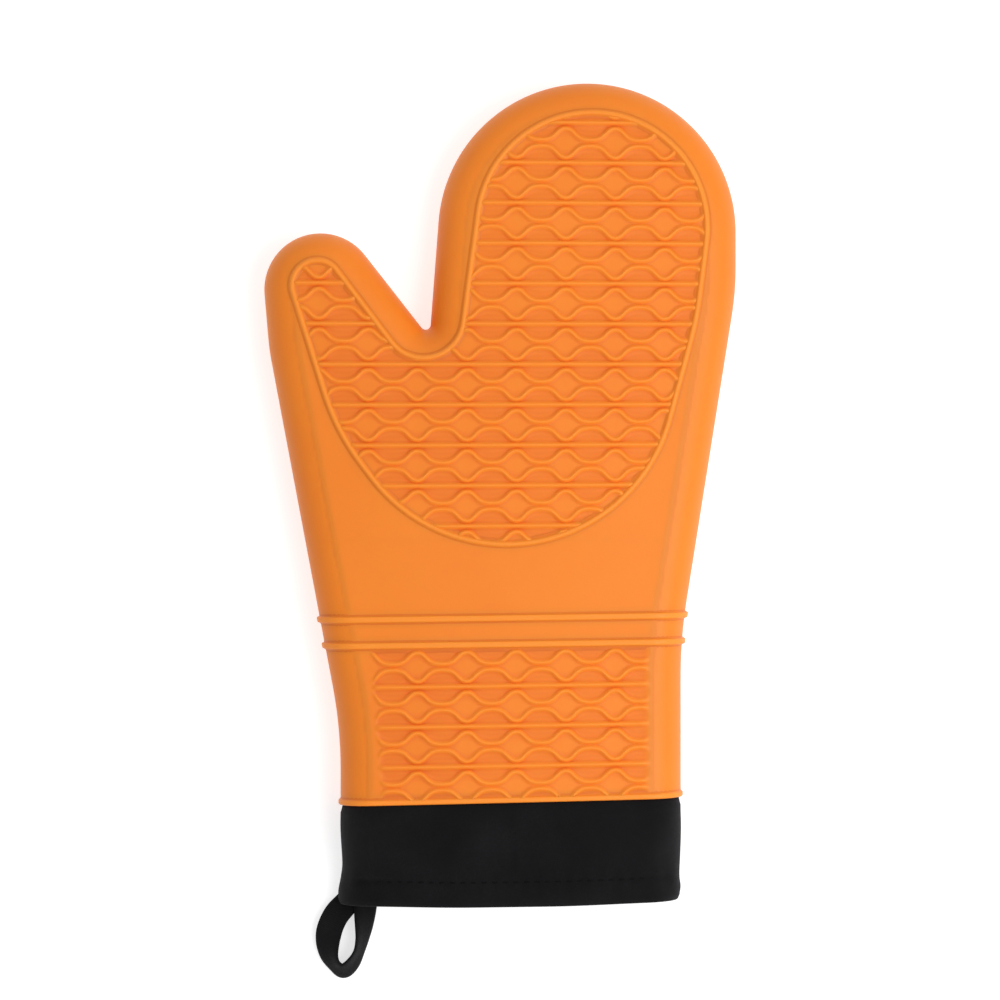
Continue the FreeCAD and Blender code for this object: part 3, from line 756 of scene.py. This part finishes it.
def clothWaves(x, y, half):
    # slow folds of the cuff, one soft crease, and puckers along the hem's stitching
    s = cuffSizes
    line = hemLine(x) + s["hemDepth"]
    pull = hump(y, line, s["pullWidth"]) * (1 - smoothStep(np.abs(x), *s["pullEnds"]))
    free = smoothStep(rimLine(x) - y, 1 * mm, 12 * mm) * smoothStep(y - hemLine(x), 0, 6 * mm)
    slow = s["slowFold"] * np.sin(x * 61 + 1.3 * half) * np.sin(y * 90 + x * 25 + half)
    slow = slow + s["fineFold"] * np.sin(x * 140 + y * 60 + 2 * half)
    creaseX = s["creaseX"] - s["creaseLean"] * (y - line)
    crease = s["crease"][0] * hump(x, creaseX, s["crease"][1]) * smoothStep(y, line, line + 8 * mm)
    pucker = s["pucker"] * np.sin(2 * math.pi * x / s["puckerLength"] + 1.7 * np.sin(x * 55))
    pucker = pucker * hump(y, line, s["puckerWidth"])
    pocket = s["pocket"][0] * hump(x, s["pocketX"], s["pocket"][1]) * pull
    roll = s["roll"][0] * hump(y, line - 5 * mm, s["roll"][1])
    return free * (slow - crease) + pucker + roll - pull * s["stitchPull"] - pocket


def cuffCloth():
    # sleeve from its tuck in the silicone down to the hem and round the fold
    s = cuffSizes
    tuck = np.array(s["tuck"]) * mm
    fold = np.array(s["fold"]) * mm
    drop = mitt["rimY"] - mitt["hemY"]
    body = np.arange(-4 * mm, 1.6 * mm - drop, -s["row"])
    along = np.concatenate([tuck[:, 0], body, fold[:, 0] - drop])
    lift = np.concatenate([tuck[:, 1], np.full(len(body), -s["ease"]), fold[:, 1]])
    outside = smoothStep(-along, 0, 3 * mm) * (np.arange(len(along)) < len(tuck) + len(body) + 2)
    share = np.clip(-along / drop, 0, 1)  # turns from the rim's slope to the hem's

    def line(x):
        slope = mitt["rimTilt"] * (1 - share) + mitt["hemTilt"] * share
        return mitt["rimY"] + slope * x

    points, faces, size = ring(along[None, :], lift[None, :], line,
                               waves=lambda x, y, half: clothWaves(x, y, half) * outside)
    x, y = points[:, 0], points[:, 1]
    corner = (1 - smoothStep(y - hemLine(x), 2 * mm, 17 * mm)) * smoothStep(-x, *s["sideEdge"])
    waist = hump(y - hemLine(x), 16 * mm, 9 * mm) * smoothStep(np.abs(x), *s["sideEdge"])
    points[:, 0] += s["waist"] * waist * -np.sign(x) - s["corner"] * corner
    return sagged(points, s["ease"]), faces, size


def runningLength(grid, axis):
    # distance gone along one direction of a grid of points
    steps = np.cumsum(np.linalg.norm(np.diff(grid, axis=axis), axis=2), axis=axis)
    return np.concatenate([0 * steps.take([0], axis=axis), steps], axis=axis)


def layFlat(piece, points, size):
    # lengths round the sleeve and down it become the cloth's own map
    grid = points.reshape(size + (3,))
    middle = size[1] // 2
    u = np.broadcast_to(runningLength(grid, 0)[:, middle:middle + 1], size)
    setFlatMap(piece, u.ravel(), runningLength(grid, 1).ravel())


def flatArea(points, faces):
    # half the length of the cross product of each face's diagonals, added up
    a, b, c, d = (points[faces[:, i]] for i in range(4))
    return float(np.linalg.norm(np.cross(c - a, d - b), axis=1).sum() / 2)


def makeCuff(cotton):
    points, faces, size = cuffCloth()
    cuff = makeObject("cuff", points, faces, cotton)
    layFlat(cuff, points, size)
    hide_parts("cuff_cloth_palm", "cuff_cloth_back")
    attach(cuff, "gauntlet")


facingSizes = {
    # mm along from the hem and out of the section
    "rows": ((0.6, -1.9), (0.5, -2.3), (0.7, -2.65), (1.4, -2.8), (3, -2.85), (5, -2.9), (7, -2.95),
             (8.5, -3.05), (9.6, -3.1), (10.2, -3.05), (10.6, -2.85), (10.5, -2.6), (10.0, -2.45)),
    "inset": 2.9 * mm,
}


def makeFacing(cotton):
    # turned-in allowance of the hem, flat inside the mouth
    points, faces, size = ring(*inRows(facingSizes["rows"]), hemLine)
    points = sagged(points, facingSizes["inset"])
    facing = makeObject("hemFacing", points, faces[:, ::-1], cotton)
    layFlat(facing, points, size)
    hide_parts("hem_facing_palm", "hem_facing_back")
    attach(facing, "gauntlet")


stitchSizes = {
    "pitch": 4.2 * mm,
    "length": 3.0 * mm,
    "radius": 0.27 * mm,
    "bow": 0.12 * mm,  # middle of a stitch above the cloth
    "dip": 0.5 * mm,  # its ends below its middle
    "rows": 9,
    "around": 6,
}


def makeStitches(thread):
    # one rounded stitch, repeated: radius (1 - u^4)^(1/2) along u, its ends pulled into the cloth
    s = stitchSizes
    for side, sign in (("palm", 1), ("back", -1)):
        low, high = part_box(f"hem_stitches_{side}")
        count = int(round((high[0] - low[0] - s["length"]) / s["pitch"])) + 1
        centre = (np.arange(count) - (count - 1) / 2) * s["pitch"]
        u = np.linspace(-1, 1, s["rows"])
        a = np.linspace(0, 2 * math.pi, s["around"], endpoint=False)
        radius = s["radius"] * np.sqrt(np.clip(1 - u ** 4, 0.0004, 1))
        x = centre[:, None, None] + u[None, :, None] * s["length"] / 2 + 0 * a
        y = hemLine(x) + cuffSizes["hemDepth"] + radius[None, :, None] * np.cos(a)
        surface = faceHalf - cuffSizes["ease"] - cuffSizes["stitchPull"]
        bow = s["bow"] - s["dip"] * u ** 4
        wave = clothWaves(x, hemLine(x) + cuffSizes["hemDepth"], sign) + cuffSizes["stitchPull"]
        z = surface + wave + faceDrift(x, y, halfWidth - np.abs(x))
        z = z + bow[None, :, None] + radius[None, :, None] * np.sin(a)
        grid = np.stack([x, y, midZ + sign * z], axis=-1).transpose(0, 2, 1, 3)
        one = gridFaces(s["around"], s["rows"], closeRows=True)
        perStitch = s["around"] * s["rows"]
        faces = (one[None] + np.arange(count)[:, None, None] * perStitch).reshape(-1, 4)
        points = grid.reshape(-1, 3)
        middles = points.reshape(count, perStitch, 3).mean(axis=1)
        outward = points - np.repeat(middles, perStitch, axis=0)
        faces = turned(points, faces, outward)
        piece = makeObject(f"hemStitches_{side}", sagged(points, 0), faces, thread)
        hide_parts(f"hem_stitches_{side}")
        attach(piece, "gauntlet")


liningSizes = {
    "inset": 6.0 * mm,
    "quilt": 21 * mm,  # one quilted square
    "puff": 1.1 * mm,
    "puffEdge": (14 * mm, 19 * mm),  # depths inside the outline where the quilting comes in
    "step": 2.2 * mm,
    "aboveHem": 24 * mm,  # below this a funnel, or the wadding's rounded end, takes over
    # mm along from the hem and out of the section
    "funnel": ((9.6, -2.5), (10.2, -3.0), (11.2, -3.75), (12.6, -4.5), (14.4, -5.2), (16.6, -5.7),
               (19.0, -5.95), (21.8, -6.0), (24.0, -6.0), (26.0, -6.0)),
    "funnelQuilt": (10.5 * mm, 20 * mm),
}

waddingSizes = {
    "outer": 2.95 * mm,
    "inner": 5.0 * mm,
    "step": 5 * mm,
    "end": ((25.5, -2.95), (23.0, -2.95), (22.1, -3.3), (21.8, -3.95), (22.1, -4.6), (23.0, -5.0),
            (25.5, -5.0)),
}


def quiltPuff(x, y, depth):
    # square pillows turned by 45 degrees: |sin| times |sin|, to the power 0.4
    s = liningSizes
    u = math.pi * (x + y) / (math.sqrt(2) * s["quilt"])
    v = math.pi * (x - y) / (math.sqrt(2) * s["quilt"])
    puff = s["puff"] * (np.abs(np.sin(u) * np.sin(v)) + 1e-4) ** 0.4
    return -puff * smoothStep(depth, *s["puffEdge"])


def linerLowest(x):
    return hemLine(x) + liningSizes["aboveHem"]


def liningSurface():
    # quilted lining seen from inside the mitt, and its funnel down to the hem's stitching
    s = liningSizes
    parts = plainLayer(s["inset"], linerLowest, s["step"], inward=True, extra=quiltPuff)
    along, lift = inRows(s["funnel"])
    share = smoothStep(along, *s["funnelQuilt"])
    points, faces, size = ring(along, lift, hemLine, waves=lambda x, y, half: quiltPuff(
        x, y, halfWidth - np.abs(x)) * share)
    parts.append((points, faces[:, ::-1]))
    points, faces, paintedShading = joinGrids(parts)
    return sagged(points, s["inset"]), faces, paintedShading


def waddingSurface():
    # two skins of the wadding, closed by a rounded end at the mouth
    s = waddingSizes
    parts = plainLayer(s["outer"], linerLowest, s["step"])
    parts += plainLayer(s["inner"], linerLowest, s["step"], inward=True)
    points, faces, size = ring(*inRows(s["end"]), hemLine)
    parts.append((points, faces))
    points, faces, paintedShading = joinGrids(parts)
    return sagged(points, s["outer"]), faces, paintedShading


def declareLining(piece, points, faces):
    # works out a zone's area laid flat and keeps nothing of it
    flatArea(points, faces)


def declareWadding(piece, points, faces):
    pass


loopSizes = {
    "width": 10.5 * mm,
    "thick": 1.3 * mm,
    "crown": 0.12 * mm,  # middle of the tape above its quarters
    "selvedge": 0.55,  # share of the thickness lost at the edges
    # middle of the tape from the loop's hinge, across and down in mm, and its roll in degrees
    "route": ((6.0, 9.5, 30), (3.4, 6.2, 30), (0.3, 2.2, 24), (-3.9, -2.6, 10), (-6.5, -8.0, 4),
              (-7.4, -13.6, 24), (-6.8, -19.0, 44), (-4.6, -23.0, 57), (-1.2, -25.2, 52),
              (2.3, -22.5, 58), (5.0, -17.6, 67), (6.4, -12.4, 62), (7.1, -7.2, 50),
              (7.6, -0.6, 36), (8.2, 5.6, 36), (8.4, 9.5, 32)),
    "steps": 10,
    "columns": 15,
}


def smoothCurve(points, steps):
    # Catmull-Rom: a cubic through the points whose slope is half the step between neighbours
    p = np.concatenate([2 * points[:1] - points[1:2], points, 2 * points[-1:] - points[-2:-1]])
    t = np.linspace(0, 1, steps, endpoint=False)[None, :, None]
    a, b, c, d = (p[i:len(p) - 3 + i, None, :] for i in range(4))
    curve = 0.5 * (2 * b + (c - a) * t + (2 * a - 5 * b + 4 * c - d) * t ** 2
                   + (3 * b - a - 3 * c + d) * t ** 3)
    return np.concatenate([curve.reshape(-1, points.shape[1]), points[-1:]])


def tapeEnds(flat, columns, around, count, ahead):
    # the two ends closed by quads from the tape's upper side to its lower side
    top = np.arange(columns - 1)
    corners = np.stack([top, top + 1, around - 2 - top, around - 1 - top], axis=1) * count
    return [turned(flat, corners, -ahead[0]), turned(flat, corners + count - 1, ahead[-1])]


def makeLoop(tape):
    # tape carried along its route, turning on edge as it goes round, with rounded selvedges
    s = loopSizes
    route = smoothCurve(np.array(s["route"], float), s["steps"])
    middle = np.stack([loopHinge[0] + route[:, 0] * mm, loopHinge[1] + route[:, 1] * mm,
                       np.full(len(route), loopHinge[2])], axis=1)
    roll = np.radians(route[:, 2])
    ahead = np.gradient(middle, axis=0)
    ahead /= np.linalg.norm(ahead, axis=1)[:, None]
    side = np.stack([-ahead[:, 1], ahead[:, 0], 0 * roll], axis=1)
    across = side * np.cos(roll)[:, None] + np.array([0, 0, 1]) * np.sin(roll)[:, None]
    up = np.cross(across, ahead)
    edge = np.linspace(-1, 1, s["columns"])
    half = s["thick"] / 2 * (1 - s["selvedge"] * np.abs(edge) ** 6)
    crown = s["crown"] * np.cos(edge * math.pi)
    width = np.concatenate([edge, edge[::-1]]) * s["width"] / 2
    height = np.concatenate([half + crown, -half[::-1] + crown[::-1]])
    points = middle[:, None] + across[:, None] * width[:, None] + up[:, None] * height[:, None]
    rows = points.transpose(1, 0, 2)
    flat = rows.reshape(-1, 3)
    outward = (up[None] * np.sign(height)[:, None, None]).reshape(-1, 3)
    faces = turned(flat, gridFaces(len(width), len(route), closeRows=True), outward)
    ends = tapeEnds(flat, s["columns"], len(width), len(route), ahead)
    piece = makeObject("hangLoop", flat, np.concatenate([faces] + ends), tape)
    length = np.concatenate([[0], np.cumsum(np.linalg.norm(np.diff(middle, axis=0), axis=1))])
    u = np.broadcast_to(width[:, None], rows.shape[:2]).ravel()
    v = np.broadcast_to(length[None, :], rows.shape[:2]).ravel()
    setFlatMap(piece, u, v)
    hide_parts("hang_loop")
    x, y, z = loopHinge
    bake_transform(piece)
    print("loop tape length", round(float(length[-1]), 4))


def newMaterial(name):
    material = bpy.data.materials.new(name)
    material.use_nodes = True
    tree = material.node_tree
    return material, tree, tree.nodes["Principled BSDF"]


def setInputs(node, values):
    for name, value in values.items():
        node.inputs[name].default_value = value


def objectPlace(tree):
    return tree.nodes.new("ShaderNodeTexCoord").outputs["Object"]


def noiseNode(tree, vector, scale, detail):
    node = tree.nodes.new("ShaderNodeTexNoise")
    setInputs(node, {"Scale": scale, "Detail": detail})
    tree.links.new(vector, node.inputs["Vector"])
    return node.outputs["Fac"]


def paint(tree, shader, value, stops):
    node = tree.nodes.new("ShaderNodeValToRGB")
    elements = node.color_ramp.elements
    while len(elements) < len(stops):
        elements.new(0.5)
    for element, (place, colour) in zip(elements, stops):
        element.position = place
        element.color = (*colour, 1)
    tree.links.new(value, node.inputs["Fac"])
    tree.links.new(node.outputs["Color"], shader.inputs["Base Color"])


def mathNode(tree, operation, first, second):
    node = tree.nodes.new("ShaderNodeMath")
    node.operation = operation
    for socket, value in zip(node.inputs, (first, second)):
        if isinstance(value, (int, float)):
            socket.default_value = value
        else:
            tree.links.new(value, socket)
    return node.outputs[0]


def bumpNode(tree, shader, height, strength, distance):
    node = tree.nodes.new("ShaderNodeBump")
    setInputs(node, {"Strength": strength, "Distance": distance})
    tree.links.new(height, node.inputs["Height"])
    tree.links.new(node.outputs["Normal"], shader.inputs["Normal"])


def roughnessNode(tree, shader, value, limits):
    node = tree.nodes.new("ShaderNodeMapRange")
    setInputs(node, {"To Min": limits[0], "To Max": limits[1]})
    tree.links.new(value, node.inputs["Value"])
    tree.links.new(node.outputs["Result"], shader.inputs["Roughness"])


siliconeLook = {
    "foot": (0.72, 0.132, 0.013),  # painted shade: deeper orange in the corners beside ribs
    "plain": (0.86, 0.226, 0.018),
    "crest": (0.94, 0.275, 0.027),  # painted highlight: paler on crests
    "drift": 0.35,  # how far the colour wanders
    "roughness": (0.42, 0.54),
    "grain": (0.15, 0.00006),  # strength and depth of the fine bumps
    "shader": {"Specular IOR Level": 0.25, "Subsurface Weight": 0.15, "Subsurface Scale": 0.003,
               "Subsurface Radius": (1.0, 0.3, 0.1)},
}


def siliconeMaterial():
    look = siliconeLook
    material, tree, shader = newMaterial("orangeSilicone")
    place = objectPlace(tree)
    # the stored attribute paints shade in the hollows beside ribs and highlight on their crests
    paintedShading = tree.nodes.new("ShaderNodeAttribute")
    paintedShading.attribute_name = "paintedShading"
    cloud = mathNode(tree, "SUBTRACT", noiseNode(tree, place, 16, 3), 0.5)
    drift = mathNode(tree, "MULTIPLY", cloud, look["drift"])
    highlightAndShade = mathNode(tree, "MULTIPLY", paintedShading.outputs["Fac"], 0.5)
    value = mathNode(tree, "ADD", mathNode(tree, "ADD", highlightAndShade, 0.5), drift)
    paint(tree, shader, value, [(0.0, look["foot"]), (0.5, look["plain"]), (1.0, look["crest"])])
    roughnessNode(tree, shader, noiseNode(tree, place, 60, 4), look["roughness"])
    bumpNode(tree, shader, noiseNode(tree, place, 2400, 2), *look["grain"])
    setInputs(shader, look["shader"])
    return material


def weaveHeight(tree, place, threadsPerMetre, diagonal):
    # over-and-under weave: sin across times sin along, or a slanted twill
    split = tree.nodes.new("ShaderNodeSeparateXYZ")
    tree.links.new(place, split.inputs[0])
    turn = 2 * math.pi * threadsPerMetre
    u = mathNode(tree, "MULTIPLY", split.outputs[0], turn)
    v = mathNode(tree, "MULTIPLY", split.outputs[1], turn)
    if diagonal:
        slant = mathNode(tree, "ADD", u, mathNode(tree, "MULTIPLY", v, diagonal))
        return mathNode(tree, "SINE", slant, 0)
    return mathNode(tree, "MULTIPLY", mathNode(tree, "SINE", u, 0), mathNode(tree, "SINE", v, 0))


clothLook = {
    "roughness": (0.78, 0.95),
    "weave": (0.5, 0.00012),  # strength and depth of the threads
    "shader": {"Specular IOR Level": 0.12, "Sheen Weight": 0.06, "Sheen Roughness": 0.5,
               "Sheen Tint": (0.8, 0.78, 0.85, 1)},
    # three tones and the threads to the metre
    "blackCotton": ((0.0025, 0.0025, 0.003), (0.0052, 0.005, 0.0056), (0.0105, 0.010, 0.0115), 1700),
    "quiltedLining": ((0.018, 0.018, 0.020), (0.035, 0.035, 0.039), (0.06, 0.06, 0.066), 1500),
    "twillTape": ((0.0025, 0.0025, 0.003), (0.005, 0.005, 0.0055), (0.010, 0.010, 0.011), 1100),
}


def clothMaterial(name, diagonal=0.0, ownMap=True):
    # woven cloth: threads in the bump, patches of tone, and a dusty sheen
    look = clothLook
    dark, middle, pale, threads = look[name]
    material, tree, shader = newMaterial(name)
    place = objectPlace(tree)
    laid = place
    if ownMap:
        node = tree.nodes.new("ShaderNodeUVMap")
        node.uv_map = "cloth"
        laid = node.outputs["UV"]
    weave = weaveHeight(tree, laid, threads, diagonal)
    fuzz = noiseNode(tree, place, 900, 3)
    patch = noiseNode(tree, place, 38, 3)
    speckle = mathNode(tree, "MULTIPLY", mathNode(tree, "SUBTRACT", fuzz, 0.5), 0.5)
    tone = mathNode(tree, "ADD", mathNode(tree, "MULTIPLY", weave, 0.16), patch)
    tone = mathNode(tree, "ADD", tone, speckle)
    paint(tree, shader, tone, [(0.2, dark), (0.55, middle), (0.9, pale)])
    roughnessNode(tree, shader, fuzz, look["roughness"])
    height = mathNode(tree, "ADD", weave, mathNode(tree, "MULTIPLY", fuzz, 0.8))
    bumpNode(tree, shader, height, *look["weave"])
    setInputs(shader, look["shader"])
    return material


waddingLook = {
    "dark": (0.62, 0.6, 0.55),
    "pale": (0.82, 0.8, 0.75),
    "fluff": (0.8, 0.0006),  # strength and depth
    "shader": {"Roughness": 0.95},
}


def waddingMaterial():
    look = waddingLook
    material, tree, shader = newMaterial("cottonWadding")
    place = objectPlace(tree)
    fibres = noiseNode(tree, place, 260, 6)
    paint(tree, shader, fibres, [(0.3, look["dark"]), (0.7, look["pale"])])
    setInputs(shader, look["shader"])
    bumpNode(tree, shader, fibres, *look["fluff"])
    return material


threadLook = {
    "dark": (0.002, 0.002, 0.0022),
    "pale": (0.006, 0.006, 0.0066),
    "turns": 9000,
    "twist": (0.6, 0.00008),  # strength and depth
    "shader": {"Roughness": 0.8, "Specular IOR Level": 0.1},
}


def threadMaterial():
    # twisted thread: slanted bands along X
    look = threadLook
    material, tree, shader = newMaterial("blackThread")
    place = objectPlace(tree)
    split = tree.nodes.new("ShaderNodeSeparateXYZ")
    tree.links.new(place, split.inputs[0])
    slant = mathNode(tree, "ADD", split.outputs[0], mathNode(tree, "MULTIPLY", split.outputs[1], 0.7))
    twist = mathNode(tree, "SINE", mathNode(tree, "MULTIPLY", slant, look["turns"]), 0)
    tone = mathNode(tree, "ADD", mathNode(tree, "MULTIPLY", twist, 0.3), 0.5)
    paint(tree, shader, tone, [(0.2, look["dark"]), (0.8, look["pale"])])
    setInputs(shader, look["shader"])
    bumpNode(tree, shader, twist, *look["twist"])
    return material


studio = {
    "lens": 135,
    "distance": 1.5,
    "offsetY": 12.5 * mm,  # the loop hangs nearer the frame's edge than the fingertips
    "world": {"Color": (1, 1, 1, 1), "Strength": 0.49},
    "floorHalf": 6.0,
    "floorZ": -0.4 * mm,
    "floor": {"Base Color": (0.58, 0.58, 0.58, 1), "Roughness": 0.9,
              "Emission Color": (1, 1, 1, 1), "Emission Strength": 0.66},
    "aim": (0, -0.04, 0),
    # name, place, size and power
    "lights": (("keyLight", (0.56, -0.20, 0.95), 0.8, 9.0), ("topLight", (0.0, 0.9, 1.1), 1.0, 2.0)),
}


def placeCamera():
    scene = bpy.context.scene
    low, high = cadBox
    camera = bpy.data.objects.new("camera", bpy.data.cameras.new("camera"))
    scene.collection.objects.link(camera)
    camera.location = ((low[0] + high[0]) / 2, (low[1] + high[1]) / 2 + studio["offsetY"],
                       midZ + studio["distance"])
    camera.data.lens = studio["lens"]
    scene.camera = camera


def layFloor():
    half = studio["floorHalf"]
    mesh = bpy.data.meshes.new("floor")
    corners = [(-half, -half, 0), (half, -half, 0), (half, half, 0), (-half, half, 0)]
    mesh.from_pydata(corners, [], [(0, 1, 2, 3)])
    floor = bpy.data.objects.new("floor", mesh)
    bpy.context.scene.collection.objects.link(floor)
    floor.location = (0, 0, studio["floorZ"])
    paper, tree, shader = newMaterial("paleFloor")
    setInputs(shader, studio["floor"])
    mesh.materials.append(paper)


def hangLights():
    for name, place, size, power in studio["lights"]:
        light = bpy.data.lights.new(name, "AREA")
        light.size = size
        light.energy = power
        holder = bpy.data.objects.new(name, light)
        bpy.context.scene.collection.objects.link(holder)
        holder.location = place
        aim = np.array(studio["aim"]) - np.array(place)
        holder.rotation_euler = (math.atan2(math.hypot(aim[0], aim[1]), -aim[2]), 0,
                                 math.atan2(-aim[0], aim[1]))


def lightRoom():
    world = bpy.data.worlds.new("softRoom")
    bpy.context.scene.world = world
    world.use_nodes = True
    setInputs(world.node_tree.nodes["Background"], studio["world"])
    bpy.context.scene.view_settings.view_transform = "Standard"


placeCamera()
layFloor()
hangLights()
lightRoom()
print("studio ready")

placeInZones("skin", siliconeSkin(), siliconeMaterial(), "shell")
print("silicone skin made")

cotton = clothMaterial("blackCotton")
makeCuff(cotton)
makeFacing(cotton)
makeStitches(threadMaterial())
print("cuff, facing and stitches made")

quilted = clothMaterial("quiltedLining", ownMap=False)
placeInZones("lining", liningSurface(), quilted, "lining", declareLining)
placeInZones("wadding", waddingSurface(), waddingMaterial(), "wadding", declareWadding)
print("lining and wadding made")

makeLoop(clothMaterial("twillTape", diagonal=1.0))
print("hanging loop made")
